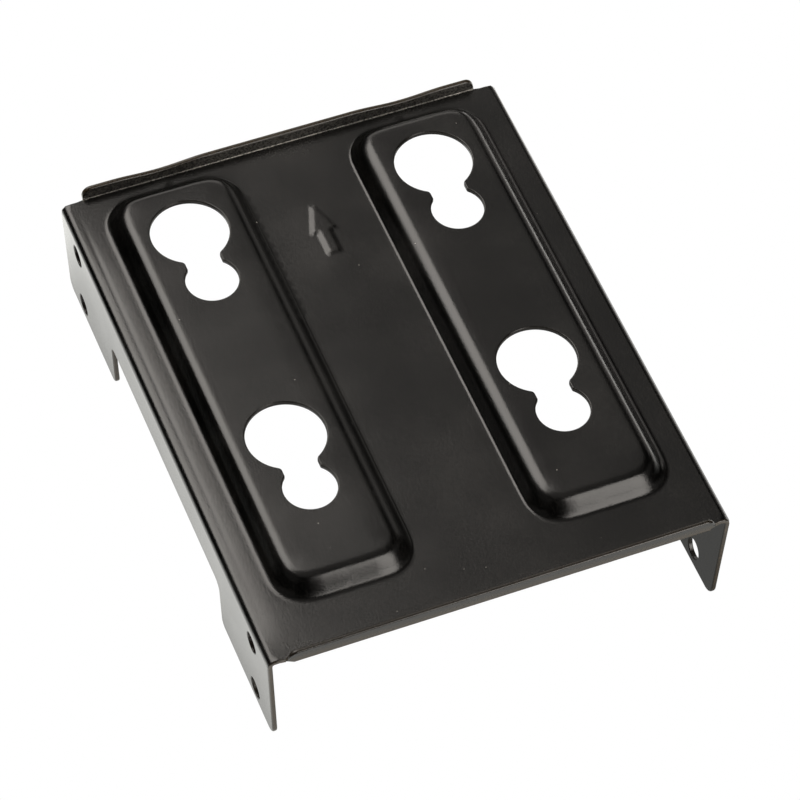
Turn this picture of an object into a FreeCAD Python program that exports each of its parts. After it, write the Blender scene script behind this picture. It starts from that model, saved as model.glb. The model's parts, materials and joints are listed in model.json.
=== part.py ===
import FreeCAD, Part
import math
import os

V = FreeCAD.Vector
UP = V(0, 0, 1)

# Sheet, millimetres.
SHEET = 0.8            # thickness of the steel sheet
BEND_IN = 0.5          # inner radius of every fold
TOE_IN = 2.7           # degrees that each side flange leans inward past square

# The 2.5-inch drive that the side flanges hold, and the play left round it.
DRIVE_WIDTH = 69.85    # across the drive
DRIVE_HOLE_HEIGHT = 3.0    # side screw hole above the face of the drive
DRIVE_PITCH = 76.6     # between the side screw holes along the drive
STACK_PITCH = 12.0     # from the upper drive to the lower one
SIDE_PLAY = 0.525      # beside the drive, at the folds
TOP_PLAY = 0.6         # between the drive and the plate

# Side flanges: two ears on each side, joined by a shallower web.
SCREW_HOLE_D = 3.5
SCREW_END_GAP = 7.1    # screw hole centre to the end of the ear
SCREW_FOOT_GAP = 3.0   # lower screw hole centre to the foot of the ear
EAR_LENGTH = 21.65
WEB_DROP = 9.4         # plate top to the lower edge of the web
EAR_END_R = 2.0        # lower corner at the end of the bracket
EAR_GAP_R = 1.5        # lower corner facing the gap between the ears
EAR_ROOT_R = 1.5       # concave corner where ear and web meet

# Lips folded up along the front and rear edge of the plate.
LIP_REACH = 0.8        # outer face of a lip beyond the edge of the plate
LIP_CORNER_R = 1.5     # upper corners of a lip
FRONT_LIP_INSET = 2.85     # end of the front lip inside the side of the bracket
FRONT_LIP_HEIGHT = 1.95
REAR_LIP_INSET = 3.6
REAR_LIP_HEIGHT = 2.2  # at mid width
REAR_LIP_DIP = 0.5     # how far the sheet is drawn down behind a pad
REAR_LIP_FALL = 0.1    # how much lower the ends stand than the middle
REAR_LIP_SAG = 8.0     # half width of a dip

# Two drawn pads, long in the direction of the arrow.
PAD_WIDTH = 21.4       # where the wall would meet the plate without rounding
PAD_SIDE_GAP = 5.45    # pad wall to the side of the bracket
PAD_FRONT_GAP = 8.27   # pad wall to the front edge of the plate
PAD_REAR_GAP = 2.62    # pad wall to the rear edge of the plate
PAD_HEIGHT = 2.93
PAD_WALL = 56.0        # degrees of the wall above the plate
PAD_CORNER_R = 5.1     # in plan, where wall and plate would meet
PAD_FOOT_R = 0.8       # hollow rounding from plate to wall
PAD_CROWN_R = 2.1      # rounding from wall to pad top
PAD_MARGIN = 0.5       # flat rim round the pad that is shaped with it

# Two keyholes in each pad, the wide end to the rear.
KEY_WIDE_D = 12.2
KEY_NARROW_D = 8.2
KEY_STEP = 9.99        # wide centre to narrow centre
KEY_NECK = 5.6         # width of the neck between the two rounds
KEY_WIDE_R = 0.8       # rounding where the neck meets the wide round
KEY_NARROW_R = 0.4     # rounding where the neck meets the narrow round
KEY_REAR_GAP = 11.36   # rear wide centre to the rear pad wall
KEY_FRONT_GAP = 17.06  # front narrow centre to the front pad wall

CLEAR = 1.0            # how far a cutting tool runs past the sheet
SAME = 1e-6            # places closer than this are one place

# Sizes that follow from the ones above.
BEND_OUT = BEND_IN + SHEET
WIDTH = DRIVE_WIDTH + 2 * SIDE_PLAY + 2 * SHEET
PLATE_LENGTH = DRIVE_PITCH + 2 * SCREW_END_GAP
HALF_WIDTH = WIDTH / 2
HALF_LENGTH = PLATE_LENGTH / 2
UPPER_HOLE_DROP = SHEET + TOP_PLAY + DRIVE_HOLE_HEIGHT
LOWER_HOLE_DROP = UPPER_HOLE_DROP + STACK_PITCH
TOP = LOWER_HOLE_DROP + SCREW_FOOT_GAP
UNDER = TOP - SHEET
PAD_X = HALF_WIDTH - PAD_SIDE_GAP - PAD_WIDTH / 2
PAD_FRONT = -HALF_LENGTH + PAD_FRONT_GAP
PAD_REAR = HALF_LENGTH - PAD_REAR_GAP
LIP_START = HALF_LENGTH + LIP_REACH - BEND_OUT


def chain(points):
    """Wire through the points in turn; a pair (mid, end) is an arc."""
    edges = []
    here = points[0]
    for step in points[1:] + [points[0]]:
        if isinstance(step, tuple):
            mid, end = step
            edges.append(Part.Arc(here, mid, end).toShape())
        else:
            end = step
            edges.append(Part.makeLine(here, end))
        here = end
    return Part.Wire(edges)


def near_any(point, spots):
    return any((point - spot).Length < SAME for spot in spots)


def round_edges(solid, radius, wanted):
    return solid.makeFillet(radius, [e for e in solid.Edges if wanted(e)])


def channel():
    """Plate and both flanges as one folded section, ears still full length."""
    lean = math.radians(TOE_IN)
    bend_x = HALF_WIDTH - BEND_OUT
    bend_z = TOP - BEND_OUT

    def at(sign, radius, angle):
        return V(sign * (bend_x + radius * math.cos(angle)), 0, bend_z + radius * math.sin(angle))

    def side(sign, radius):
        """Foot of the flange, start, middle and end of its fold."""
        start = at(sign, radius, -lean)
        fall = start.z + CLEAR
        foot = start + V(-sign * fall * math.tan(lean), 0, -fall)
        middle = at(sign, radius, (math.pi / 2 - lean) / 2)
        return foot, start, middle, at(sign, radius, math.pi / 2)

    def upward(sign, radius):
        foot, start, middle, end = side(sign, radius)
        return [foot, start, (middle, end)]

    def downward(sign, radius):
        foot, start, middle, end = side(sign, radius)
        return [end, (middle, start), foot]

    outline = upward(1, BEND_OUT) + downward(-1, BEND_OUT) + upward(-1, BEND_IN) + downward(1, BEND_IN)
    face = Part.Face(chain(outline))
    face.translate(V(0, -HALF_LENGTH, 0))
    return face.extrude(V(0, PLATE_LENGTH, 0))


def side_outline():
    """Block with the side view of the ears and the web, across the full width."""
    gap = HALF_LENGTH - EAR_LENGTH
    web = TOP - WEB_DROP
    left = -HALF_WIDTH - CLEAR
    ends = [(HALF_LENGTH, 0), (-HALF_LENGTH, 0)]
    inner = [(gap, 0), (-gap, 0)]
    roots = [(gap, web), (-gap, web)]
    view = [(-HALF_LENGTH, TOP + CLEAR), ends[1], inner[1], roots[1]]
    view += [roots[0], inner[0], ends[0], (HALF_LENGTH, TOP + CLEAR)]
    block = Part.Face(chain([V(left, y, z) for y, z in view]))
    block = block.extrude(V(WIDTH + 2 * CLEAR, 0, 0))
    for corners, radius in ((ends, EAR_END_R), (inner, EAR_GAP_R), (roots, EAR_ROOT_R)):
        spots = [V(0, y, z) for y, z in corners]
        block = round_edges(block, radius, lambda e: near_any(e.CenterOfMass, spots))
    return block


def lip(sign, half_width, top_edge):
    """Lip on the front (sign -1) or rear (sign 1); top_edge runs from left to right."""
    bend_z = TOP + BEND_IN
    high = max(v.Point.z for v in top_edge.Vertexes) + CLEAR
    turn = math.sqrt(0.5)

    def at(out, z):
        return V(-half_width, sign * (LIP_START + out), z)

    fold = [at(0, UNDER)]
    fold.append((at(BEND_OUT * turn, bend_z - BEND_OUT * turn), at(BEND_OUT, bend_z)))
    fold += [at(BEND_OUT, high), at(BEND_IN, high), at(BEND_IN, bend_z)]
    fold.append((at(BEND_IN * turn, bend_z - BEND_IN * turn), at(0, TOP)))
    strip = Part.Face(chain(fold)).extrude(V(2 * half_width, 0, 0))

    left = top_edge.Vertexes[0].Point
    right = top_edge.Vertexes[-1].Point
    low_left = V(left.x, 0, UNDER - CLEAR)
    low_right = V(right.x, 0, UNDER - CLEAR)
    front_view = Part.Wire([top_edge, Part.makeLine(right, low_right),
                            Part.makeLine(low_right, low_left), Part.makeLine(low_left, left)])
    block = Part.Face(front_view)
    reach = LIP_START + BEND_OUT + CLEAR
    block = block.extrude(V(0, sign * reach, 0))
    corners = [V(p.x, sign * reach / 2, p.z) for p in (left, right)]
    block = round_edges(block, LIP_CORNER_R, lambda e: near_any(e.CenterOfMass, corners))
    return strip.common(block)


def front_lip():
    half = HALF_WIDTH - FRONT_LIP_INSET
    z = TOP + FRONT_LIP_HEIGHT
    return lip(-1, half, Part.makeLine(V(-half, 0, z), V(half, 0, z)))


def rear_lip():
    """The upper edge sags behind each pad, where drawing pulled the sheet in."""
    half = HALF_WIDTH - REAR_LIP_INSET
    mid = TOP + REAR_LIP_HEIGHT
    end = mid - REAR_LIP_FALL
    dip = mid - REAR_LIP_DIP
    left = [(-half, end), (-PAD_X - REAR_LIP_SAG, end), (-PAD_X, dip), (-PAD_X + REAR_LIP_SAG, mid)]
    heights = left + [(0, mid)] + [(-x, z) for x, z in reversed(left)]
    curve = Part.BSplineCurve()
    curve.interpolate([V(x, 0, z) for x, z in heights])
    return lip(1, half, curve.toShape())


def lip_trim(sign, inset):
    """Plate edge that a lip's fold takes the place of."""
    half = HALF_WIDTH - inset
    y = LIP_START if sign > 0 else -LIP_START - BEND_OUT
    return Part.makeBox(2 * half, BEND_OUT, SHEET + 2 * CLEAR, V(-half, y, UNDER - CLEAR))


def pad_profile():
    """Half section of a pad through a plan corner: (radius, height) of the drawn sheet."""
    wall = math.radians(PAD_WALL)
    sharp_top = PAD_CORNER_R - PAD_HEIGHT / math.tan(wall)
    foot = PAD_CORNER_R + PAD_FOOT_R * math.tan(wall / 2)
    crown = sharp_top - PAD_CROWN_R * math.tan(wall / 2)
    foot_z = TOP + PAD_FOOT_R
    crown_z = TOP + PAD_HEIGHT - PAD_CROWN_R
    rim = foot + PAD_MARGIN

    def foot_at(radius, angle):
        return V(foot - radius * math.sin(angle), 0, foot_z - radius * math.cos(angle))

    def crown_at(radius, angle):
        return V(crown + radius * math.sin(angle), 0, crown_z + radius * math.cos(angle))

    outline = [V(rim, 0, TOP), foot_at(PAD_FOOT_R, 0)]
    outline.append((foot_at(PAD_FOOT_R, wall / 2), foot_at(PAD_FOOT_R, wall)))
    outline.append(crown_at(PAD_CROWN_R, wall))
    outline.append((crown_at(PAD_CROWN_R, wall / 2), crown_at(PAD_CROWN_R, 0)))
    outline += [V(0, 0, TOP + PAD_HEIGHT), V(0, 0, UNDER + PAD_HEIGHT)]
    inside = PAD_CROWN_R - SHEET
    outline.append(crown_at(inside, 0))
    outline.append((crown_at(inside, wall / 2), crown_at(inside, wall)))
    outside = PAD_FOOT_R + SHEET
    outline.append(foot_at(outside, wall))
    outline.append((foot_at(outside, wall / 2), foot_at(outside, 0)))
    outline.append(V(rim, 0, UNDER))
    return Part.Face(chain(outline)), rim


def pad(centre_x):
    """Drawn pad of even thickness, and the block of plate that it takes the place of."""
    section, rim = pad_profile()
    right = centre_x + PAD_WIDTH / 2 - PAD_CORNER_R
    left = centre_x - PAD_WIDTH / 2 + PAD_CORNER_R
    front = PAD_FRONT + PAD_CORNER_R
    rear = PAD_REAR - PAD_CORNER_R
    corners = [V(right, rear, 0), V(left, rear, 0), V(left, front, 0), V(right, front, 0)]
    flat = Part.makeBox(right - left, rear - front, SHEET, V(left, front, UNDER + PAD_HEIGHT))
    block = Part.makeBox(right - left, rear - front, SHEET, V(left, front, UNDER))
    pieces = []
    blocks = []
    for turn, corner in enumerate(corners):
        start = section.copy()
        start.rotate(V(0, 0, 0), UP, 90 * turn)
        start.translate(corner)
        along = corners[turn - 1] - corner
        pieces.append(start.revolve(corner, UP, 90))
        pieces.append(start.extrude(along))
        level = V(corner.x, corner.y, UNDER)
        quarter = Part.makeCylinder(rim, SHEET, level, UP, 90)
        quarter.rotate(level, UP, 90 * turn)
        blocks.append(quarter)
        reach = V(rim, 0, 0)
        reach = FreeCAD.Rotation(UP, 90 * turn).multVec(reach)
        edge = Part.makeLine(level, level + reach)
        blocks.append(edge.extrude(along).extrude(V(0, 0, SHEET)))
    return flat.multiFuse(pieces).removeSplitter(), block.multiFuse(blocks).removeSplitter()


def keyhole(x, y):
    """Cutting tool for one keyhole; y is the centre of the wide round."""
    low = TOP - CLEAR
    height = PAD_HEIGHT + 2 * CLEAR
    wide = Part.makeCylinder(KEY_WIDE_D / 2, height, V(x, y, low))
    narrow = Part.makeCylinder(KEY_NARROW_D / 2, height, V(x, y - KEY_STEP, low))
    neck = Part.makeBox(KEY_NECK, KEY_STEP, height, V(x - KEY_NECK / 2, y - KEY_STEP, low))
    tool = wide.multiFuse([narrow, neck]).removeSplitter()
    wide_y = y - math.sqrt(KEY_WIDE_D ** 2 - KEY_NECK ** 2) / 2
    narrow_y = y - KEY_STEP + math.sqrt(KEY_NARROW_D ** 2 - KEY_NECK ** 2) / 2
    for corner_y, radius in ((wide_y, KEY_WIDE_R), (narrow_y, KEY_NARROW_R)):
        sides = [V(x + s * KEY_NECK / 2, corner_y, low + height / 2) for s in (-1, 1)]
        tool = round_edges(tool, radius, lambda e: near_any(e.CenterOfMass, sides))
    return tool


def key_centres():
    """Centres of the wide rounds."""
    rear = PAD_REAR - KEY_REAR_GAP
    front = PAD_FRONT + KEY_FRONT_GAP + KEY_STEP
    return [(x, y) for x in (-PAD_X, PAD_X) for y in (front, rear)]


def screw_holes():
    holes = []
    for y in (-DRIVE_PITCH / 2, DRIVE_PITCH / 2):
        for drop in (UPPER_HOLE_DROP, LOWER_HOLE_DROP):
            start = V(-HALF_WIDTH - CLEAR, y, TOP - drop)
            holes.append(Part.makeCylinder(SCREW_HOLE_D / 2, WIDTH + 2 * CLEAR, start, V(1, 0, 0)))
    return holes


def bracket():
    body = channel().common(side_outline())
    body = body.cut([lip_trim(-1, FRONT_LIP_INSET), lip_trim(1, REAR_LIP_INSET)])
    body = body.multiFuse([front_lip(), rear_lip()]).removeSplitter()

    left_pad, left_block = pad(-PAD_X)
    right_pad, right_block = pad(PAD_X)
    body = body.cut([left_block, right_block])
    body = body.multiFuse([left_pad, right_pad]).removeSplitter()

    body = body.cut([keyhole(x, y) for x, y in key_centres()])
    return body.cut(screw_holes())


os.makedirs("parts", exist_ok=True)
bracket().exportStep("parts/mounting_bracket.step")
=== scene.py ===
import json
import math

import bpy
import numpy as np
from mathutils import Matrix, Vector, kdtree
from mathutils.geometry import delaunay_2d_cdt


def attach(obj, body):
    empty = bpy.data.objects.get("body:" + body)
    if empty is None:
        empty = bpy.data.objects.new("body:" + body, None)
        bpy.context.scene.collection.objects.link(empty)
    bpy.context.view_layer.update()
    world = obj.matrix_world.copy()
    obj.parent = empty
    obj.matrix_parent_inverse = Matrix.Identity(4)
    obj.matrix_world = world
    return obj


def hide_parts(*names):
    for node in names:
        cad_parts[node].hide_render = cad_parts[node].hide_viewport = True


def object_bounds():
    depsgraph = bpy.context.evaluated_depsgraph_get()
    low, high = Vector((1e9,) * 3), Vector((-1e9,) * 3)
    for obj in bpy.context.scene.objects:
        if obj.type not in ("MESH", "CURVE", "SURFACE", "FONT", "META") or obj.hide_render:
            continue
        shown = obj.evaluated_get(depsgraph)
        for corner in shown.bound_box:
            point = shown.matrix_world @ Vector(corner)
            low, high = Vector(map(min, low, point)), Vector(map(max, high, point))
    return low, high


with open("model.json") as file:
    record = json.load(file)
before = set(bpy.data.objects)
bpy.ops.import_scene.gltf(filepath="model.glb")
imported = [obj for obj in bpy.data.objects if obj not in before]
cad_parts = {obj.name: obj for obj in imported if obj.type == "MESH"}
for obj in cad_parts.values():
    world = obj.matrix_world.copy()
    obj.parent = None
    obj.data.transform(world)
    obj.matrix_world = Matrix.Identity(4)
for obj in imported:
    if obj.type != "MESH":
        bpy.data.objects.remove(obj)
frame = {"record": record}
cad_low, cad_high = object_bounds()

MM = 0.001             # lengths below are in millimetres, meshes and lamps in metres

# The folded sheet, as in the solid.
SHEET = 0.8
BEND_IN = 0.5
BEND_OUT = BEND_IN + SHEET
TOE_IN = math.radians(2.7)
EAR_LENGTH = 21.65
WEB_DROP = 9.4
EAR_END_R = 2.0
EAR_GAP_R = 1.5
EAR_ROOT_R = 1.5
LIP_REACH = 0.8
LIP_CORNER_R = 1.5
FRONT_LIP_INSET = 2.85
FRONT_LIP_HEIGHT = 1.95
REAR_LIP_INSET = 3.6
REAR_LIP_HEIGHT = 2.2
REAR_LIP_DIP = 0.5
REAR_LIP_FALL = 0.1
REAR_LIP_SAG = 8.0
PAD_WIDTH = 21.4
PAD_SIDE_GAP = 5.45
PAD_FRONT_GAP = 8.27
PAD_REAR_GAP = 2.62
PAD_HEIGHT = 2.93
PAD_WALL = math.radians(56)
PAD_CORNER_R = 5.1
PAD_FOOT_R = 0.8
PAD_CROWN_R = 2.1
KEY_WIDE_R = 6.1
KEY_NARROW_R = 4.1
KEY_STEP = 9.99
KEY_NECK = 2.8         # half width of the neck
KEY_WIDE_ROUND = 0.8
KEY_NARROW_ROUND = 0.4
KEY_REAR_GAP = 11.36
KEY_FRONT_GAP = 17.06

# Fine forms that only show close up.
OUTER_EDGE = 0.3       # rounding of the upper cut edge around the sheet
LIP_EDGE = 0.42        # on the lips
HOLE_EDGE = 0.2        # and in the holes
LOWER_EDGE = 0.8       # rounding of the lower cut edge, as a share of the upper
NOTCH = 0.02           # slit where a lip parts from the corner of the plate
NOTCH_R = 0.008
NOTCH_DEPTH = 0.12
NOTCH_EDGE = 0.03      # rounding of the cut edge there
NOTCH_FADE = 0.8
TAB_R = 0.04           # no less than NOTCH_EDGE
LIP_BEND_IN = 0.1      # the lips are folded more sharply than the flanges
PAD_EASE = 0.5         # softens the start and end of the pads' roundings,
EASE_STEPS = (-1, 0, 0, 1)  # by a mean over these steps
CORNER_EASE = 1.6      # softens the corners of their outline, by a mean over a circle
INNER_SHIFT = 0.3      # the pads' sides towards the middle lie this much further out,
INNER_EASE = 0.12      # with a crisper foot and a larger crown
INNER_FOOT_R = 0.7
INNER_CROWN_R = 3.1
RIGHT_SHIFT = 0.28     # how much further out the right side of the right pad lies
PAD_DISH = 0.03        # how far the middle of a pad's top sinks
PAD_DISH_FADE = 8
LEAN = math.radians(6.4)  # how far the strip beside the left flange leans out at the fold
LEAN_RIGHT = 0.15      # share of it on the right
LEAN_START = 31.2      # where it begins to lean, from the middle of the plate
LEAN_FRONT_FADE = 8    # the lean dies away over these lengths at the ends
LEAN_REAR_FADE = 20
PRESS_GAP = 0.85       # press mark along the left fold, fading to both ends
PRESS_WIDTH = 0.38
PRESS_DEPTH = 0.028
PRESS_FRONT_FADE = 45
PRESS_REAR_FADE = 14
ARROW_X = 0.1          # pressed arrow, pointing to the rear
ARROW_REAR_GAP = 13.4
ARROW_LENGTH = 10.3
ARROW_HEAD_LENGTH = 5.7
ARROW_HEAD_WIDTH = 4.5
ARROW_TIP_WIDTH = 0.5
ARROW_SHAFT_WIDTH = 2.3
ARROW_RISE = 0.22
ARROW_CREST = 0.55     # from the arrow's outline to its crest
ARROW_FOOT = 0.18      # rounding of its foot, as a share of that
ARROW_DOME = 2         # power of the curve from foot to crest
ARROW_EASE = 0.32      # softens all of it, by a mean over a circle
ARROW_BULGE = 0.07     # the plate around the arrow has come up a little with it
ARROW_BULGE_REACH = (4.0, 7.0)

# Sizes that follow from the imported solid.
HALF_WIDTH = cad_high.x / MM
LIP_OUT = cad_high.y / MM
TOP = cad_high.z / MM - PAD_HEIGHT
HALF_LENGTH = LIP_OUT - LIP_REACH
LIP_START = LIP_OUT - SHEET - LIP_BEND_IN
FOLD_X = HALF_WIDTH - BEND_OUT * (1 - math.sin(LEAN))
EDGE_DROP = math.tan(LEAN) * (FOLD_X - LEAN_START) / 2
SWEEP = math.pi / 2 + TOE_IN
FOLD_LENGTH = BEND_OUT * (SWEEP - LEAN)
FLANGE_TOP = TOP - EDGE_DROP - BEND_OUT * (math.cos(LEAN) - math.cos(SWEEP))
FRONT_LIP = HALF_WIDTH - FRONT_LIP_INSET
REAR_LIP = HALF_WIDTH - REAR_LIP_INSET
PAD_X = HALF_WIDTH - PAD_SIDE_GAP - PAD_WIDTH / 2
PAD_FRONT = -HALF_LENGTH + PAD_FRONT_GAP
PAD_REAR = HALF_LENGTH - PAD_REAR_GAP
SCREWS = next(m for m in frame["record"]["mounts"] if m["name"] == "drive_screws_right")

# Paint, with sizes in millimetres.
PAINT_DARK = (0.0005, 0.0005, 0.0005, 1)
PAINT_LIGHT = (0.013, 0.0123, 0.0114, 1)
PAINT_ROUGHNESS = 0.24
EDGE_BROWN = (0.05, 0.035, 0.018, 1)
EDGE_ROUGHNESS = 0.36
# colour of the dust specks, and of the dust and painted light at the lips
DUST_AND_LIGHT_COLOUR = (0.65, 0.62, 0.56, 1)
ROUGHNESS_CHANGE = 0.03  # either way, with the clouding
TONE_RANGE = (0.95, 1.35)  # sums of clouding and grain from the darkest to the lightest paint
GRAIN_SIZE = 0.25
GRAIN_DEPTH = 0.018
STREAK_SIZE = 0.6      # width of faint streaks along the sheet
STREAK_LENGTH = 25     # as a multiple of the width
STREAK_DEPTH = 0.002
THIN_DUST_AND_LIGHT = 0.11       # thin dust and painted light on the inside of a lip,
DUST_LIGHT_THINNER = 3       # so many times thinner on the plate before it
FOLD_HIGHLIGHT_AND_DUST = 1.0        # painted highlight, with dust, along its fold
FOLD_HIGHLIGHT_HALF = 0.1        # half width of that line
DUST_LIGHT_REACH = 1.2
DUST_LIGHT_PATCHES = (0.4, 0.6)  # mottling between which the dust and painted light go from their least to full
DUST_LIGHT_LEAST = 0.25
CLOUD_SIZE = 14
CLOUD_RANGE = (0.3, 0.7)
WEAR_SIZE = 0.35
WEAR_PATCHES = (0.3, 0.7)  # the same for wear
WEAR_LEAST = 0.3
WEAR_REACH = 0.9       # from the fold of a lip up its outside
LIP_PAINT = 0.6        # how much better the paint covers the cut edge of the front lip
HOLE_PAINT = 0.75      # and of the holes
SPECK_SPACING = 3.0
SPECK_SIZE = 0.035     # as a share of the spacing
SPECK_CORE = 0.5       # solid part of a speck
SPECK_SHARE = 0.35     # of the places for one that have one

# Studio light, and the floor as the paint reflects it: a painted glow, with a painted shadow under the
# bracket.
LIGHT_TINT = (1, 0.95, 0.89)
LAMPS = (              # name, direction from the bracket, distance and size in metres, radiance
    ("softbox_rear", (-0.26, 0.56, 0.786), 0.8, (0.54, 0.5), 5.2),
    ("panel_top", (0.26, 0.556, 0.79), 0.8, (0.36, 0.65), 0.4),
    ("softbox_front", (0.39, -0.82, 0.42), 0.5, (0.25, 0.43), 4.8),
    ("softbox_right", (0.8, 0.556, 0.2), 0.6, (0.3, 0.25), 0.42),
    ("card_right", (0.83, 0.556, -0.093), 0.085, (0.14, 0.02), 1.1),
    ("softbox_back", (0.2, 0.9, 0.38), 0.7, (0.45, 0.2), 1.6),
    ("fill_left", (-0.78, -0.2, 0.58), 0.8, (0.8, 0.5), 0.1),
    ("fill_right", (0.84, -0.24, 0.49), 0.8, (0.5, 0.42), 0.12),
)
SKY_RISE = (0.83, 0.97)  # heights on the unit sphere between which the sky grows lighter
SKY_GLOW = (0.006, 0.3)
FLOOR_TINT = (1, 1, 0.96, 1)
FLOOR_HALF = 3000      # half the side of the floor
FLOOR_GLOW = 2.4       # painted glow around the bracket
FLOOR_UNDER = 0.35     # and in the painted shadow under it
FLOOR_SHADE = 22       # width of the painted shadow around the bracket
FLOOR_SHADE_SHIFT = (13, -6, 0)  # of the painted shadow's middle from the bracket's
FLOOR_SHADE_SIDE = 5   # how much wider than the bracket the painted shadow is on each side
FLOOR_FADE = (30, 105)  # distances from the edge of the painted shadow's core over which the painted glow fades to dark

# Camera, solved from the photograph.
CAMERA_AZIMUTH = math.radians(23.487)
CAMERA_ELEVATION = math.radians(52.673)
CAMERA_ROLL = math.radians(-2.26)
CAMERA_TARGET = Vector((-1.095, -8.015, TOP))
CAMERA_DISTANCE = 627.5
CAMERA_LENS = 189.135
CAMERA_SENSOR = 36

# Mesh fineness.
ARC_STEP = math.radians(5)
ARC_LEAST = 4          # fewest stretches in an arc
EASE_TURNS = 8         # places on the circle that a mean is taken over
PAD_TURNS = 9          # rings in each rounding of a pad
FOLD_ROWS = 15         # rows of points round the fold of a flange
PRESS_ROWS = 13        # over the press mark,
PRESS_SPAN = 2.5       # reaching this multiple of its width to each side
STRIP_ROWS = 3         # over the rest of the strip
LIP_ROWS = (-3, -1.5, -0.5, 0, 0.25, 0.5, 0.75, 1, 1.5, 2.5)  # along a lip, in lengths of its fold
EDGE_TURNS = np.radians([22.5, 45, 67.5, 90])  # rings in the rounding of a cut edge
EDGE_STEP = 1.0        # longest stretch of a straight cut edge
RING_STEP = 2.0        # along the straight sides of a pad
FLAT_STEP = 3.0        # over flat stretches
ARROW_STEP = 0.15
BULGE_STEP = 0.8       # around the arrow
KEEP_OFF = 0.3         # nearest that an inner point comes to a cut edge
SLOPE_STEP = 1e-4      # for measuring directions on the sheet


def flange_p(z):
    """Place on the flat sheet of height z on the outside of a flange."""
    return FOLD_X + FOLD_LENGTH + (FLANGE_TOP - z) / math.cos(TOE_IN)


def lip_q(z):
    """Place on the flat sheet of height z on the inside of a lip."""
    return LIP_START + LIP_BEND_IN * math.pi / 2 + z - TOP - LIP_BEND_IN


def lip_half(q):
    """Half width of the lip on that side of the sheet."""
    return np.where(q > 0, REAR_LIP, FRONT_LIP)


def past_fold(q):
    """Distance up a lip from the middle of its fold."""
    return np.abs(q) - LIP_START - LIP_BEND_IN * math.pi / 4


def faded(share):
    """Smooth rise from 0 to 1."""
    share = np.clip(share, 0, 1)
    return share ** 2 * (3 - 2 * share)


# Heights of the plate.
def pad_marks(foot_r=PAD_FOOT_R, crown_r=PAD_CROWN_R):
    """Distances inside the pad's outline where foot, wall and crown begin and end."""
    foot = -foot_r * math.tan(PAD_WALL / 2)
    crown = PAD_HEIGHT / math.tan(PAD_WALL) + crown_r * math.tan(PAD_WALL / 2)
    return foot, foot + foot_r * math.sin(PAD_WALL), crown - crown_r * math.sin(PAD_WALL), crown


def pad_offsets(x, y):
    """How far a place lies beyond the centres of the nearer pad's corners, across and along."""
    off = np.abs(x) - PAD_X
    outward = np.where(x > 0, np.maximum(off - RIGHT_SHIFT, 0), off)
    off = np.where(off < 0, np.minimum(off + INNER_SHIFT, 0), outward)
    along = np.abs(y - (PAD_FRONT + PAD_REAR) / 2) - (PAD_REAR - PAD_FRONT) / 2
    return np.abs(off) - PAD_WIDTH / 2 + PAD_CORNER_R, along + PAD_CORNER_R


def pad_inside(x, y):
    """Distance inside the outline of the nearer pad."""
    across, along = pad_offsets(x, y)
    outer = np.hypot(np.maximum(across, 0), np.maximum(along, 0))
    return PAD_CORNER_R - outer - np.minimum(np.maximum(across, along), 0)


def inner_side(x, y):
    """1 along the side of a pad towards the middle of the plate, 0 along its other sides."""
    across, along = pad_offsets(x, y)
    return np.where(np.abs(x) < PAD_X, faded((across - along) / (2 * PAD_CORNER_R) + 0.5), 0)


def pad_section(inside, foot_r, crown_r):
    """Height of a pad with true arcs at foot and crown."""
    foot, wall, shoulder, crown = pad_marks(foot_r, crown_r)
    lift = foot_r - np.sqrt(np.maximum(foot_r ** 2 - (np.clip(inside, foot, wall) - foot) ** 2, 0))
    climb = (np.clip(inside, wall, shoulder) - wall) * math.tan(PAD_WALL)
    turn = crown - np.clip(inside, shoulder, crown)
    cap = np.sqrt(crown_r ** 2 - turn ** 2) - crown_r * math.cos(PAD_WALL)
    return lift + climb + cap


def around(form, x, y, reach):
    """Mean of a form's values on a small circle about each place."""
    turns = np.linspace(0, 2 * math.pi, EASE_TURNS, endpoint=False)
    return sum(form(x + reach * math.cos(a), y + reach * math.sin(a)) for a in turns) / len(turns)


def pad_dish(x, y):
    """How far the flat top of a pad has sunk in pressing."""
    half = PAD_WIDTH / 2 - pad_marks()[3]
    across = np.clip((np.abs(x) - PAD_X) / half, -1, 1)
    ends = faded((y - PAD_FRONT) / PAD_DISH_FADE) * faded((PAD_REAR - y) / PAD_DISH_FADE)
    return PAD_DISH * (1 - across ** 2) * ends


def pad_height(x, y):
    """Height of the pads above the plate, with eased roundings and corners."""
    inside = around(pad_inside, x, y, CORNER_EASE)
    inner = inner_side(x, y)
    foot_r = PAD_FOOT_R + (INNER_FOOT_R - PAD_FOOT_R) * inner
    crown_r = PAD_CROWN_R + (INNER_CROWN_R - PAD_CROWN_R) * inner
    ease = PAD_EASE + (INNER_EASE - PAD_EASE) * inner
    eased = sum(pad_section(inside + step * ease, foot_r, crown_r) for step in EASE_STEPS)
    return eased / len(EASE_STEPS) - pad_dish(x, y)


def arrow_corners():
    """Corners of the arrow's outline, with a blunt tip."""
    tip = HALF_LENGTH - ARROW_REAR_GAP
    barb = tip - ARROW_HEAD_LENGTH
    shaft = ARROW_SHAFT_WIDTH / 2
    right = [(ARROW_TIP_WIDTH / 2, tip), (ARROW_HEAD_WIDTH / 2, barb)]
    right += [(shaft, barb), (shaft, tip - ARROW_LENGTH)]
    outline = [(-x, y) for x, y in right] + right[::-1]
    return np.array([(ARROW_X + x, y) for x, y in outline])


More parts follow.
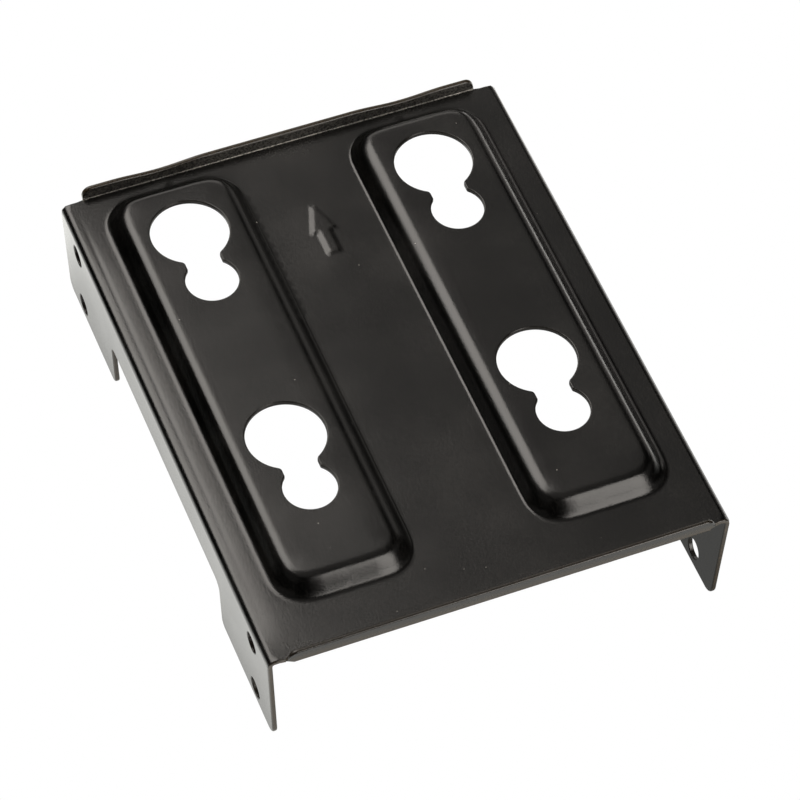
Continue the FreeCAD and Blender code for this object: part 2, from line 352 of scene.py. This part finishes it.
def arrow_inside(x, y):
    """Distance inside the arrow's outline, negative outside."""
    corners = arrow_corners()
    near = np.full(x.shape, np.inf)
    inside = np.zeros(x.shape, bool)
    for (ax, ay), (bx, by) in zip(corners, np.roll(corners, -1, 0)):
        share = ((x - ax) * (bx - ax) + (y - ay) * (by - ay)) / ((bx - ax) ** 2 + (by - ay) ** 2)
        share = np.clip(share, 0, 1)
        near = np.minimum(near, np.hypot(x - ax - share * (bx - ax), y - ay - share * (by - ay)))
        crosses = (ay > y) != (by > y)
        level = by - ay if by != ay else 1
        inside ^= crosses & (x < ax + (y - ay) * (bx - ax) / level)
    return np.where(inside, near, -near)


def arrow_height(x, y):
    """Height of the arrow above the plate: a rounded foot and a domed side up to the crest."""
    reach = arrow_inside(x, y) / ARROW_CREST
    foot = np.maximum(reach + ARROW_FOOT, 0) ** 2 / (4 * ARROW_FOOT)
    share = np.minimum(np.where(reach < ARROW_FOOT, foot, reach), 1)
    return ARROW_RISE * (1 - (1 - share) ** ARROW_DOME)


def arrow_bulge(x, y):
    """How far the plate has come up around the arrow."""
    centre = HALF_LENGTH - ARROW_REAR_GAP - ARROW_LENGTH / 2
    off = np.hypot((x - ARROW_X) / ARROW_BULGE_REACH[0], (y - centre) / ARROW_BULGE_REACH[1])
    return ARROW_BULGE * np.exp(-off ** 2)


def lean_share(p, q):
    """How much of the full lean the strip beside a flange has."""
    ends = faded((q + HALF_LENGTH) / LEAN_FRONT_FADE) * faded((HALF_LENGTH - q) / LEAN_REAR_FADE)
    return ends * np.where(p < 0, 1, LEAN_RIGHT)


def strip_drop(p, q):
    """How far the plate drops beside a flange, with the press mark along the left fold."""
    share = np.clip((np.abs(p) - LEAN_START) / (FOLD_X - LEAN_START), 0, 1)
    mark = (p + FOLD_X - PRESS_GAP) / PRESS_WIDTH
    ends = faded((q + HALF_LENGTH) / PRESS_FRONT_FADE) * faded((HALF_LENGTH - q) / PRESS_REAR_FADE)
    return lean_share(p, q) * EDGE_DROP * share ** 2 + ends * PRESS_DEPTH * np.exp(-mark ** 2)


# From the flat sheet to the folded one.
def skin(p, q):
    """Points in space of the sheet's upper face, from places on the flat sheet."""
    across = np.abs(p)
    lean = LEAN * lean_share(p, q)
    radius = (HALF_WIDTH - FOLD_X) / (1 - np.sin(lean))
    angle = lean + (SWEEP - lean) * np.clip((across - FOLD_X) / FOLD_LENGTH, 0, 1)
    rest = np.maximum(across - FOLD_X - FOLD_LENGTH, 0)
    x = np.minimum(across, FOLD_X) + radius * (np.sin(angle) - np.sin(lean)) + rest * math.cos(SWEEP)
    drop = strip_drop(p, q)
    stretch = (TOP - drop - radius * (np.cos(lean) - math.cos(SWEEP))) / FLANGE_TOP
    z = TOP - drop - radius * (np.cos(lean) - np.cos(angle)) - rest * math.sin(SWEEP) * stretch

    along = np.abs(q)
    in_lip = across < lip_half(q) + NOTCH / 2
    up = np.where(in_lip, np.maximum(along - LIP_START, 0), 0)
    angle = np.minimum(up / LIP_BEND_IN, math.pi / 2)
    y = along - up + LIP_BEND_IN * np.sin(angle)
    z = z + LIP_BEND_IN * (1 - np.cos(angle)) + np.maximum(up - LIP_BEND_IN * math.pi / 2, 0)

    z = z + pad_height(p, q) + around(arrow_height, p, q, ARROW_EASE) + arrow_bulge(p, q)
    return np.column_stack([np.sign(p) * x, np.sign(q) * y, z])


def directions(p, q):
    """Unit vectors along p and q and away from the sheet, at places on the flat sheet."""
    e = SLOPE_STEP
    along_p = skin(p + e, q) - skin(p - e, q)
    along_q = skin(p, q + e) - skin(p, q - e)
    away = np.cross(along_p, along_q)
    return tuple(v / np.linalg.norm(v, axis=1, keepdims=True) for v in (along_p, along_q, away))


def lip_dust_and_light(p, q):
    """Dust and painted light at a lip: a painted highlight, with dust, along the fold, and thin dust
    with painted light on the lip and before it.
    """
    beyond = past_fold(q)
    thin = THIN_DUST_AND_LIGHT * np.where(beyond > 0, 1, np.exp(beyond / DUST_LIGHT_REACH) / DUST_LIGHT_THINNER)
    thick = FOLD_HIGHLIGHT_AND_DUST * np.exp(-(beyond / FOLD_HIGHLIGHT_HALF) ** 2)
    return np.where(np.abs(p) < lip_half(q), np.maximum(thick, thin), 0)


def lip_wear(p, q):
    """Paint rubbed thin on the outside of a lip, along its fold."""
    return np.where(np.abs(p) < lip_half(q), np.exp(-(past_fold(q) / WEAR_REACH) ** 2), 0)


# Outlines on the flat sheet.
def arc(centre, radius, start, end):
    """Points on a circle, from one angle to another."""
    count = max(ARC_LEAST, math.ceil(abs(end - start) / ARC_STEP))
    angles = np.linspace(start, end, count + 1)
    return [(centre[0] + radius * math.cos(a), centre[1] + radius * math.sin(a)) for a in angles]


def rounded(corners):
    """Closed outline through corners (p, q, radius)."""
    points = []
    for n, (p, q, radius) in enumerate(corners):
        here = Vector((p, q))
        if radius == 0:
            points.append((p, q))
            continue
        back = (Vector(corners[n - 1][:2]) - here).normalized()
        ahead = (Vector(corners[(n + 1) % len(corners)][:2]) - here).normalized()
        half = back.angle(ahead) / 2
        centre = here + (back + ahead).normalized() * (radius / math.sin(half))
        first = here + back * (radius / math.tan(half)) - centre
        start = math.atan2(first.y, first.x)
        turn = math.pi - 2 * half
        left = back.x * ahead.y - back.y * ahead.x < 0
        points += arc(centre, radius, start, start + (turn if left else -turn))
    return points


def divided(points, step):
    """The closed outline with its long stretches divided."""
    out = []
    for a, b in zip(points, points[1:] + points[:1]):
        parts = max(1, math.ceil(math.dist(a, b) / step))
        for k in range(parts):
            out.append((a[0] + (b[0] - a[0]) * k / parts, a[1] + (b[1] - a[1]) * k / parts))
    return out


def rear_lip_height(x):
    """Upper edge of the rear lip: it sags behind each pad."""
    off = abs(abs(x) - PAD_X)
    dip = (1 + math.cos(math.pi * off / REAR_LIP_SAG)) / 2 if off < REAR_LIP_SAG else 0
    end = min(max((abs(x) - PAD_X) / REAR_LIP_SAG, 0), 1)
    return TOP + REAR_LIP_HEIGHT - REAR_LIP_DIP * dip - REAR_LIP_FALL * end


def sheet_outline():
    """Edge of the whole blank, anticlockwise seen from above."""
    foot = flange_p(0)
    web = flange_p(TOP - WEB_DROP)
    gap = HALF_LENGTH - EAR_LENGTH
    slit = HALF_LENGTH - NOTCH_DEPTH
    right = [
        (FRONT_LIP, -slit, NOTCH_R), (FRONT_LIP + NOTCH, -slit, NOTCH_R),
        (FRONT_LIP + NOTCH, -HALF_LENGTH, TAB_R), (foot, -HALF_LENGTH, EAR_END_R),
        (foot, -gap, EAR_GAP_R), (web, -gap, EAR_ROOT_R),
        (web, gap, EAR_ROOT_R), (foot, gap, EAR_GAP_R),
        (foot, HALF_LENGTH, EAR_END_R), (REAR_LIP + NOTCH, HALF_LENGTH, TAB_R),
        (REAR_LIP + NOTCH, slit, NOTCH_R), (REAR_LIP, slit, NOTCH_R),
    ]
    inner = REAR_LIP - 2 * LIP_CORNER_R
    across = np.linspace(inner, -inner, round(2 * inner))
    rear = [(x, lip_q(rear_lip_height(x)), 0) for x in across]
    rear_end = lip_q(rear_lip_height(REAR_LIP))
    rear = [(REAR_LIP, rear_end, LIP_CORNER_R)] + rear + [(-REAR_LIP, rear_end, LIP_CORNER_R)]
    front_q = -lip_q(TOP + FRONT_LIP_HEIGHT)
    front = [(-FRONT_LIP, front_q, LIP_CORNER_R), (FRONT_LIP, front_q, LIP_CORNER_R)]
    left = [(-p, q, radius) for p, q, radius in reversed(right)]
    return rounded(right + rear + left + front)


def keyhole(x, y):
    """Edge of a keyhole, clockwise seen from above; y is the centre of the wide round."""
    def junction(centre_y, radius, blend, towards):
        """Centre of the rounding between a round and the neck, and its direction from the round."""
        across = KEY_NECK + blend
        rise = math.sqrt((radius + blend) ** 2 - across ** 2)
        return (x + across, centre_y + towards * rise), math.atan2(towards * rise, across)

    small = y - KEY_STEP
    wide_blend, wide_angle = junction(y, KEY_WIDE_R, KEY_WIDE_ROUND, -1)
    small_blend, small_angle = junction(small, KEY_NARROW_R, KEY_NARROW_ROUND, 1)
    right = arc((x, y), KEY_WIDE_R, math.pi / 2, wide_angle)[:-1]
    right += arc(wide_blend, KEY_WIDE_ROUND, math.pi + wide_angle, math.pi)
    right += arc(small_blend, KEY_NARROW_ROUND, math.pi, math.pi + small_angle)[:-1]
    right += arc((x, small), KEY_NARROW_R, small_angle, -math.pi / 2)
    left = [(2 * x - p, q) for p, q in reversed(right)]
    return right + left[1:-1]


def screw_hole(sign, y, z):
    """Edge of a screw hole in the left (-1) or right (1) flange, clockwise."""
    points = arc((sign * flange_p(z), y), SCREWS["dims"]["hole_r_mm"], 2 * math.pi, 0)
    return points[:-1]


def outlines():
    """All cut edges: the blank's, then those of the keyholes and the screw holes."""
    rear = PAD_REAR - KEY_REAR_GAP
    front = PAD_FRONT + KEY_FRONT_GAP + KEY_STEP
    loops = [sheet_outline()]
    loops += [keyhole(x, y) for x in (-PAD_X, PAD_X) for y in (front, rear)]
    level = SCREWS["pos_m"][2] / MM
    pitch = SCREWS["dims"]["spacing_x_mm"] / 2
    drop = SCREWS["dims"]["spacing_y_mm"] / 2
    for sign in (-1, 1):
        for y in (-pitch, pitch):
            loops += [screw_hole(sign, y, level + dz) for dz in (-drop, drop)]
    return [np.array(divided(loop, EDGE_STEP)) for loop in loops]


def inward(loop):
    """Unit vectors into the sheet along an outline that has the sheet on its left."""
    ahead = np.roll(loop, -1, 0) - loop
    ahead /= np.linalg.norm(ahead, axis=1, keepdims=True)
    mean = ahead + np.roll(ahead, 1, 0)
    mean /= np.linalg.norm(mean, axis=1, keepdims=True)
    return np.column_stack([-mean[:, 1], mean[:, 0]])


# Points inside the outlines.
def pad_rings(sign):
    """Points on rings round the left (-1) or right (1) pad, close together in its roundings."""
    foot, wall, shoulder, crown = pad_marks()
    turns = np.linspace(0, PAD_WALL, PAD_TURNS)
    insets = list(foot + PAD_FOOT_R * np.sin(turns)) + [(wall + shoulder) / 2]
    insets += list(crown - PAD_CROWN_R * np.sin(turns[::-1]))
    insets = [foot - PAD_FOOT_R / 2] + insets + [crown + PAD_FOOT_R / 2]
    outward = RIGHT_SHIFT if sign > 0 else 0
    rings = []
    for inset in insets:
        half = PAD_WIDTH / 2 - inset
        radius = PAD_CORNER_R - inset
        corners = [(half, PAD_FRONT + inset), (half, PAD_REAR - inset)]
        corners += [(-p, q) for p, q in reversed(corners)]
        ring = divided(rounded([(p, q, radius) for p, q in corners]), RING_STEP)
        rings += [(sign * (PAD_X + p + (outward if p > 0 else -INNER_SHIFT)), q) for p, q in ring]
    return rings


def arrow_points():
    """A fine grid over the arrow and a coarse one over the bulge around it."""
    half = ARROW_HEAD_WIDTH / 2 + ARROW_CREST
    tip = HALF_LENGTH - ARROW_REAR_GAP + ARROW_CREST
    tail = tip - ARROW_LENGTH - 2 * ARROW_CREST
    fine = [(p, q) for p in np.arange(ARROW_X - half, ARROW_X + half, ARROW_STEP)
            for q in np.arange(tail, tip, ARROW_STEP)]
    across, along = (2 * reach for reach in ARROW_BULGE_REACH)
    middle = (tip + tail) / 2
    rear = min(middle + along, LIP_START - BULGE_STEP)
    coarse = [(p, q) for p in np.arange(ARROW_X - across, ARROW_X + across, BULGE_STEP)
              for q in np.arange(middle - along, rear, BULGE_STEP)]
    return fine + apart(coarse, fine, BULGE_STEP / 2)


def fold_points():
    """Rows along the folds of the flanges and the lips, in step with the points along the pads."""
    points = []
    start, end = PAD_FRONT + PAD_CORNER_R, PAD_REAR - PAD_CORNER_R
    step = (end - start) / math.ceil((end - start) / RING_STEP)
    rows = np.arange(start - step * math.floor((start + HALF_LENGTH) / step), HALF_LENGTH, step)
    strips = list(FOLD_X + BEND_OUT * np.linspace(0, SWEEP - LEAN, FOLD_ROWS))
    strips += list(FOLD_X - PRESS_GAP + PRESS_WIDTH * np.linspace(-PRESS_SPAN, PRESS_SPAN, PRESS_ROWS))
    strips += list(np.linspace(LEAN_START + PRESS_GAP, FOLD_X - 2 * PRESS_GAP, STRIP_ROWS))
    for across in strips:
        points += [(sign * across, q) for sign in (-1, 1) for q in rows]
    for sign, half in ((-1, FRONT_LIP), (1, REAR_LIP)):
        columns = np.arange(-half, half, RING_STEP / 2)
        fold = LIP_BEND_IN * math.pi / 2
        for beyond in LIP_ROWS:
            points += [(p, sign * (LIP_START + fold * beyond)) for p in columns]
    return points


def flat_points():
    """A coarse grid over the whole sheet."""
    reach = flange_p(0)
    return [(p, q) for p in np.arange(-reach, reach, FLAT_STEP)
            for q in np.arange(-LIP_OUT, LIP_OUT, FLAT_STEP)]


def within(points, loops):
    """Which points the loops enclose, holes left out."""
    inside = np.zeros(len(points), bool)
    for loop in loops:
        for (ax, ay), (bx, by) in zip(loop, np.roll(loop, -1, 0)):
            if ay != by:
                crosses = (ay > points[:, 1]) != (by > points[:, 1])
                inside ^= crosses & (points[:, 0] < ax + (points[:, 1] - ay) * (bx - ax) / (by - ay))
    return inside


def apart(points, others, gap):
    """The points that lie further than the gap from all the others."""
    tree = kdtree.KDTree(len(others))
    for n, (p, q) in enumerate(others):
        tree.insert((p, q, 0), n)
    tree.balance()
    return [pt for pt in points if tree.find((pt[0], pt[1], 0))[2] > gap]


def inner_points(loops):
    """Points on the sheet, off its cut edges, densest where it is formed."""
    edge = np.vstack(loops)
    formed = pad_rings(-1) + pad_rings(1) + arrow_points() + fold_points()
    formed = apart(formed, edge, KEEP_OFF)
    flat = apart(flat_points(), list(edge) + formed, FLAT_STEP / 2)
    points = np.array(formed + flat)
    return points[within(points, loops)]


# The sheet as one closed mesh.
def triangles(loops):
    """Places on the flat sheet, the loops' first, and triangles between them."""
    places = np.vstack(loops + [inner_points(loops)])
    edges = []
    start = 0
    for loop in loops:
        count = len(loop)
        edges += [(start + n, start + (n + 1) % count) for n in range(count)]
        start += count
    result = delaunay_2d_cdt([Vector(v) for v in places], edges, [], 0, SLOPE_STEP, True)
    origin = np.array([ids[0] for ids in result[3]])
    faces = origin[np.array(result[2])]
    on_edge = (faces < start).all(1)
    keep = ~on_edge
    keep[on_edge] = within(places[faces[on_edge]].mean(1), loops)
    return places, faces[keep]


def on_lip(q):
    """0 on the plate and the flanges, 1 along the upper edge of a lip."""
    return faded((np.abs(q) - HALF_LENGTH) / LIP_REACH)


def outer_rounding(cut):
    """Rounding of the upper cut edge along the outline of the sheet; less at the notches."""
    p, q = np.abs(cut.T)
    near = np.hypot(p - lip_half(cut[:, 1]), q - HALF_LENGTH)
    full = OUTER_EDGE + (LIP_EDGE - OUTER_EDGE) * on_lip(q)
    return NOTCH_EDGE + (full - NOTCH_EDGE) * faded((near - TAB_R - NOTCH_DEPTH) / NOTCH_FADE)


def edge_section(upper):
    """Steps across a cut edge: inset from the cut, depth, and turn away from the upper face."""
    lower = LOWER_EDGE * upper
    steps = [(upper * (1 - math.sin(a)), upper * (1 - math.cos(a)), a) for a in EDGE_TURNS]
    steps += [(lower * (1 - math.sin(a)), SHEET - lower * (1 - math.cos(a)), math.pi - a)
              for a in EDGE_TURNS[::-1]]
    return steps + [(lower, np.full(len(upper), SHEET), math.pi)]


def mesh_piece(name, points, normals, polygons, shares):
    """New object with a smooth mesh, its own normals and named shares on its points."""
    mesh = bpy.data.meshes.new(name)
    mesh.from_pydata((np.vstack(points) * MM).tolist(), [], [[int(v) for v in f] for f in polygons])
    mesh.shade_smooth()
    for label, values in shares.items():
        mesh.attributes.new(label, "FLOAT", "POINT").data.foreach_set("value", np.concatenate(values))
    mesh.normals_split_custom_set_from_vertices(np.vstack(normals).tolist())
    mesh.update()
    piece = bpy.data.objects.new(name, mesh)
    bpy.context.scene.collection.objects.link(piece)
    return piece


def folded_sheet(name):
    """The whole bracket: upper face, under side and, between them, rings along each cut edge."""
    cuts = outlines()
    sides = [inward(loop) for loop in cuts]
    edges = [outer_rounding(cuts[0])] + [np.full(len(cut), HOLE_EDGE) for cut in cuts[1:]]
    loops = [cut + side * edge[:, None] for cut, side, edge in zip(cuts, sides, edges)]
    places, faces = triangles(loops)
    count = len(places)
    face_up = directions(*places.T)[2]
    points = [skin(*places.T), skin(*places.T) - face_up * SHEET]
    normals = [face_up, -face_up]
    polygons = [tuple(f) for f in faces] + [tuple(count + v for v in f[::-1]) for f in faces]
    covered = [LIP_PAINT * on_lip(np.minimum(cuts[0][:, 1], 0))] + [HOLE_PAINT] * (len(cuts) - 1)
    cut_share = [np.zeros(count), lip_wear(*places.T)]
    # dust and painted light at the lips: a painted highlight along each fold and lighter paint inside
    # each lip
    dust_light_share = [lip_dust_and_light(*places.T), np.zeros(count)]
    total = 2 * count
    start = 0
    for cut, side, edge, paint in zip(cuts, sides, edges, covered):
        size = len(cut)
        rings = [start + np.arange(size)]
        for inset, depth, turn in edge_section(edge):
            spot = cut + side * inset[:, None]
            along_p, along_q, away = directions(*spot.T)
            out = -(side[:, :1] * along_p + side[:, 1:] * along_q)
            points.append(skin(*spot.T) - away * depth[:, None])
            normals.append(away * math.cos(turn) + out * math.sin(turn))
            cut_share.append(math.sin(turn) * (1 - paint) * np.ones(size))
            dust_light_share.append(np.zeros(size))
            rings.append(total + np.arange(size))
            total += size
        rings.append(count + start + np.arange(size))
        for upper, lower in zip(rings, rings[1:]):
            for n in range(size):
                after = (n + 1) % size
                polygons.append((upper[n], lower[n], lower[after], upper[after]))
        start += size
    return mesh_piece(name, points, normals, polygons, {"cut_edge": cut_share, "dust_light_share": dust_light_share})


# Materials.
def add(tree, kind, **values):
    """New shader node with values on its inputs."""
    made = tree.nodes.new("ShaderNode" + kind)
    for name, value in values.items():
        made.inputs[name.replace("_", " ")].default_value = value
    return made


def noise(tree, place, size, detail):
    """Noise with features of about the given size in millimetres."""
    made = add(tree, "TexNoise", Scale=1 / (size * MM), Detail=detail)
    tree.links.new(place, made.inputs["Vector"])
    return made.outputs["Fac"]


def spread(tree, value, low, high, to_low, to_high):
    """The value moved from one range to another."""
    made = add(tree, "MapRange", From_Min=low, From_Max=high, To_Min=to_low, To_Max=to_high)
    tree.links.new(value, made.inputs["Value"])
    return made.outputs["Result"]


def attribute(tree, label):
    """A named share on the mesh's points."""
    made = tree.nodes.new("ShaderNodeAttribute")
    made.attribute_name = label
    return made.outputs["Fac"]


def combined(tree, operation, first, second):
    """Two values added or multiplied."""
    made = add(tree, "Math")
    made.operation = operation
    tree.links.new(first, made.inputs[0])
    tree.links.new(second, made.inputs[1])
    return made.outputs["Value"]


def vector_math(tree, operation, vector, by=(0, 0, 0)):
    """New vector node that works on a vector, with a fixed second one."""
    made = tree.nodes.new("ShaderNodeVectorMath")
    made.operation = operation
    made.inputs[1].default_value = by
    tree.links.new(vector, made.inputs[0])
    return made


def blended(tree, share, under, over):
    """One colour over another; over is a fixed colour."""
    made = tree.nodes.new("ShaderNodeMix")
    made.data_type = "RGBA"
    tree.links.new(share, made.inputs[0])
    tree.links.new(under, made.inputs[6])
    made.inputs[7].default_value = over
    return made.outputs[2]


def black_paint():
    """Satin black lacquer: grain, clouding, faint streaks, dust specks, dust and painted light at the
    lips, brownish where the paint is thin.
    """
    material = bpy.data.materials.new("black_paint")
    material.use_nodes = True
    tree = material.node_tree
    link = tree.links.new
    shader = tree.nodes["Principled BSDF"]
    place = tree.nodes.new("ShaderNodeTexCoord").outputs["Object"]
    grain = noise(tree, place, GRAIN_SIZE, detail=2)
    cloud = noise(tree, place, CLOUD_SIZE, detail=3)

    tone = tree.nodes.new("ShaderNodeValToRGB")
    tone.color_ramp.elements[0].color = PAINT_DARK
    tone.color_ramp.elements[1].color = PAINT_LIGHT
    mixed = combined(tree, "ADD", cloud, grain)
    link(spread(tree, mixed, *TONE_RANGE, 0, 1), tone.inputs["Fac"])

    cell = add(tree, "TexVoronoi", Scale=1 / (SPECK_SPACING * MM))
    link(place, cell.inputs["Vector"])
    dot = spread(tree, cell.outputs["Distance"], SPECK_CORE * SPECK_SIZE, SPECK_SIZE, 1, 0)
    chosen = add(tree, "SeparateColor")
    link(cell.outputs["Color"], chosen.inputs["Color"])
    rare = spread(tree, chosen.outputs["Red"], 1 - SPECK_SHARE, 1, 0, 1)
    speck = combined(tree, "MULTIPLY", dot, rare)

    mottle = noise(tree, place, WEAR_SIZE, detail=3)
    worn = spread(tree, mottle, *WEAR_PATCHES, WEAR_LEAST, 1)
    bare = combined(tree, "MULTIPLY", attribute(tree, "cut_edge"), worn)
    # dust and painted light at the lips, mottled: a painted highlight along each fold and paint
    # lightened as painted light inside each lip
    dust_light_mottle = spread(tree, mottle, *DUST_LIGHT_PATCHES, DUST_LIGHT_LEAST, 1)
    dust_light_amount = combined(tree, "MULTIPLY", attribute(tree, "dust_light_share"), dust_light_mottle)

    colour = blended(tree, bare, tone.outputs["Color"], EDGE_BROWN)
    colour = blended(tree, dust_light_amount, colour, DUST_AND_LIGHT_COLOUR)
    link(blended(tree, speck, colour, DUST_AND_LIGHT_COLOUR), shader.inputs["Base Color"])

    least, most = PAINT_ROUGHNESS - ROUGHNESS_CHANGE, PAINT_ROUGHNESS + ROUGHNESS_CHANGE
    smooth = spread(tree, cloud, *CLOUD_RANGE, least, most)
    rough = add(tree, "Math")
    rough.operation = "MULTIPLY_ADD"
    rough.inputs[1].default_value = EDGE_ROUGHNESS - PAINT_ROUGHNESS
    link(bare, rough.inputs[0])
    link(smooth, rough.inputs[2])
    link(rough.outputs["Value"], shader.inputs["Roughness"])

    drawn = vector_math(tree, "MULTIPLY", place, (1, 1 / STREAK_LENGTH, 1)).outputs["Vector"]
    streak = add(tree, "Bump", Distance=STREAK_DEPTH * MM)
    link(noise(tree, drawn, STREAK_SIZE, detail=1), streak.inputs["Height"])
    bump = add(tree, "Bump", Distance=GRAIN_DEPTH * MM)
    link(grain, bump.inputs["Height"])
    link(streak.outputs["Normal"], bump.inputs["Normal"])
    link(bump.outputs["Normal"], shader.inputs["Normal"])
    return material


def seen_white(tree, surface, output):
    """The surface, shown as plain white where it is looked at directly."""
    white = add(tree, "Emission", Strength=1)
    mix = tree.nodes.new("ShaderNodeMixShader")
    path = tree.nodes.new("ShaderNodeLightPath")
    tree.links.new(path.outputs["Is Camera Ray"], mix.inputs["Fac"])
    tree.links.new(surface, mix.inputs[1])
    tree.links.new(white.outputs["Emission"], mix.inputs[2])
    tree.links.new(mix.outputs["Shader"], output)


def floor_material():
    """Pale floor, plain white to the camera; to reflections a painted glow, bright around the bracket,
    with a painted shadow under it and dark far away.
    """
    material = bpy.data.materials.new("pale_floor_painted_glow")
    material.use_nodes = True
    tree = material.node_tree
    link = tree.links.new
    tree.nodes.remove(tree.nodes["Principled BSDF"])
    glow = add(tree, "Emission", Color=FLOOR_TINT)
    beyond = tree.nodes.new("ShaderNodeTexCoord").outputs["Object"]
    shift = [v * MM for v in FLOOR_SHADE_SHIFT]
    half = ((HALF_WIDTH + FLOOR_SHADE_SIDE) * MM, HALF_LENGTH * MM, 0)
    for operation, by in (("SUBTRACT", shift), ("ABSOLUTE", (0, 0, 0)), ("SUBTRACT", half),
                          ("MAXIMUM", (0, 0, 0))):
        beyond = vector_math(tree, operation, beyond, by).outputs["Vector"]
    reach = vector_math(tree, "LENGTH", beyond).outputs["Value"]
    # painted shadow under the bracket, brightening to a painted glow around it and fading far away
    near = spread(tree, reach, 0, FLOOR_SHADE * MM, FLOOR_UNDER, FLOOR_GLOW)
    far = spread(tree, reach, FLOOR_FADE[0] * MM, FLOOR_FADE[1] * MM, 1, 0)
    link(combined(tree, "MULTIPLY", near, far), glow.inputs["Strength"])
    seen_white(tree, glow.outputs["Emission"], tree.nodes["Material Output"].inputs["Surface"])
    return material


# Studio.
def floor():
    """Plain floor under the bracket."""
    mesh = bpy.data.meshes.new("floor")
    half = FLOOR_HALF * MM
    corners = [(-half, -half, 0), (half, -half, 0), (half, half, 0), (-half, half, 0)]
    mesh.from_pydata(corners, [], [(0, 1, 2, 3)])
    piece = bpy.data.objects.new("floor", mesh)
    mesh.materials.append(floor_material())
    bpy.context.scene.collection.objects.link(piece)


def softbox(name, direction, distance, size, radiance):
    """Soft light of even radiance that faces the bracket from a direction."""
    lamp = bpy.data.lights.new(name, "AREA")
    lamp.shape = "RECTANGLE"
    lamp.size, lamp.size_y = size
    lamp.energy = radiance * math.pi * size[0] * size[1]
    lamp.color = LIGHT_TINT
    box = bpy.data.objects.new(name, lamp)
    away = Vector(direction).normalized()
    box.location = Vector((0, 0, TOP * MM)) + away * distance
    box.rotation_euler = away.to_track_quat("Z", "Y").to_euler()
    box.visible_camera = False
    bpy.context.scene.collection.objects.link(box)


def studio():
    """The lamps, and a dim sky that is lighter overhead."""
    for lamp in LAMPS:
        softbox(*lamp)
    world = bpy.data.worlds.new("studio")
    world.use_nodes = True
    tree = world.node_tree
    back = tree.nodes["Background"]
    back.inputs["Color"].default_value = LIGHT_TINT + (1,)
    height = add(tree, "SeparateXYZ")
    way = tree.nodes.new("ShaderNodeTexCoord").outputs["Generated"]
    tree.links.new(way, height.inputs["Vector"])
    sky = spread(tree, height.outputs["Z"], *SKY_RISE, *SKY_GLOW)
    tree.links.new(sky, back.inputs["Strength"])
    seen_white(tree, back.outputs["Background"], tree.nodes["World Output"].inputs["Surface"])
    bpy.context.scene.world = world


def camera():
    """The photograph's view."""
    heading = Vector((math.sin(CAMERA_AZIMUTH), math.cos(CAMERA_AZIMUTH), 0))
    ahead = heading * math.cos(CAMERA_ELEVATION) - Vector((0, 0, math.sin(CAMERA_ELEVATION)))
    level = Vector((heading.y, -heading.x, 0))
    down = ahead.cross(level)
    right = level * math.cos(CAMERA_ROLL) + down * math.sin(CAMERA_ROLL)
    up = level * math.sin(CAMERA_ROLL) - down * math.cos(CAMERA_ROLL)
    data = bpy.data.cameras.new("camera")
    data.sensor_width = CAMERA_SENSOR
    data.lens = CAMERA_LENS
    view = bpy.data.objects.new("camera", data)
    turn = Matrix((right, up, -ahead)).transposed().to_4x4()
    place = CAMERA_TARGET - ahead * CAMERA_DISTANCE
    view.matrix_world = Matrix.Translation(place * MM) @ turn
    bpy.context.scene.collection.objects.link(view)
    bpy.context.scene.camera = view


bracket = folded_sheet("folded_bracket")
bracket.data.materials.append(black_paint())
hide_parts("mounting_bracket")
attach(bracket, "root")

floor()
studio()
camera()
bpy.context.scene.view_settings.view_transform = "Standard"
